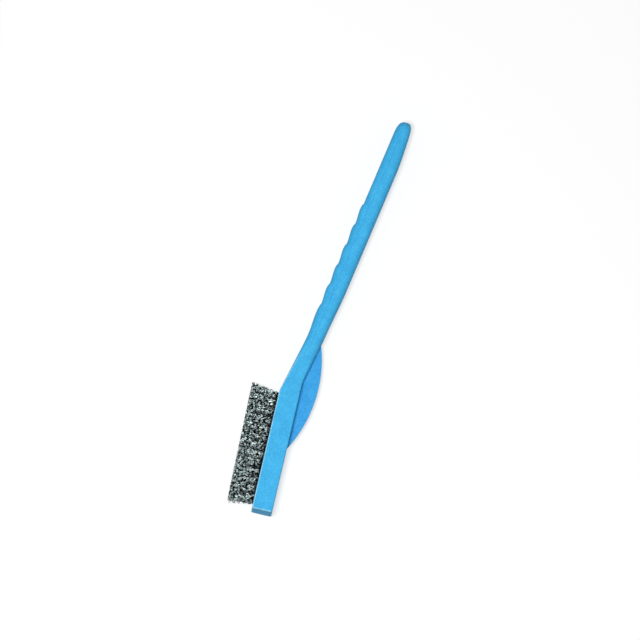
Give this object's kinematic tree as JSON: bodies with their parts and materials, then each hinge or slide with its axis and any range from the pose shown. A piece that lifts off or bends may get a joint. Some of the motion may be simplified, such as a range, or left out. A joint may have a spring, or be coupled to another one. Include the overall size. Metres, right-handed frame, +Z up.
{
  "type": "wire brush with scraper",
  "caption": "Long-handled wire brush with a curved scraper blade on the back of its head, for ice, rust and loose paint.",
  "frame": {"origin": "middle of the footprint of the brush as it lies on its side, on the surface that it lies on", "axes": "+X from the toe to the tip of the handle, +Y the way the bristles point, +Z up through the width"},
  "size_m": [0.375, 0.0874, 0.03],
  "materials": {
    "handle_plastic": "fine matte moulded texture",
    "blade_plastic": "fine matte moulded texture, slightly darker than the handle",
    "bristle_wire": "crimped carbon steel wire",
    "anchor_wire": "flat galvanised wire"
  },
  "bodies": {
    "root": {"handle": "handle_plastic", "scraper_blade": "blade_plastic", "anchors_row_1": "anchor_wire", "anchors_row_2": "anchor_wire", "anchors_row_3": "anchor_wire", "anchors_row_4": "anchor_wire", "tuft_1_01": "bristle_wire", "tuft_1_02": "bristle_wire", "tuft_1_03": "bristle_wire", "tuft_1_04": "bristle_wire", "tuft_1_05": "bristle_wire", "tuft_1_06": "bristle_wire", "tuft_1_07": "bristle_wire", "tuft_1_08": "bristle_wire", "tuft_1_09": "bristle_wire", "tuft_1_10": "bristle_wire", "tuft_1_11": "bristle_wire", "tuft_1_12": "bristle_wire", "tuft_1_13": "bristle_wire", "tuft_2_01": "bristle_wire", "tuft_2_02": "bristle_wire", "tuft_2_03": "bristle_wire", "tuft_2_04": "bristle_wire", "tuft_2_05": "bristle_wire", "tuft_2_06": "bristle_wire", "tuft_2_07": "bristle_wire", "tuft_2_08": "bristle_wire", "tuft_2_09": "bristle_wire", "tuft_2_10": "bristle_wire", "tuft_2_11": "bristle_wire", "tuft_2_12": "bristle_wire", "tuft_2_13": "bristle_wire", "tuft_3_01": "bristle_wire", "tuft_3_02": "bristle_wire", "tuft_3_03": "bristle_wire", "tuft_3_04": "bristle_wire", "tuft_3_05": "bristle_wire", "tuft_3_06": "bristle_wire", "tuft_3_07": "bristle_wire", "tuft_3_08": "bristle_wire", "tuft_3_09": "bristle_wire", "tuft_3_10": "bristle_wire", "tuft_3_11": "bristle_wire", "tuft_3_12": "bristle_wire", "tuft_3_13": "bristle_wire", "tuft_4_01": "bristle_wire", "tuft_4_02": "bristle_wire", "tuft_4_03": "bristle_wire", "tuft_4_04": "bristle_wire", "tuft_4_05": "bristle_wire", "tuft_4_06": "bristle_wire", "tuft_4_07": "bristle_wire", "tuft_4_08": "bristle_wire", "tuft_4_09": "bristle_wire", "tuft_4_10": "bristle_wire", "tuft_4_11": "bristle_wire", "tuft_4_12": "bristle_wire", "tuft_4_13": "bristle_wire"}
  },
  "joints": []
}
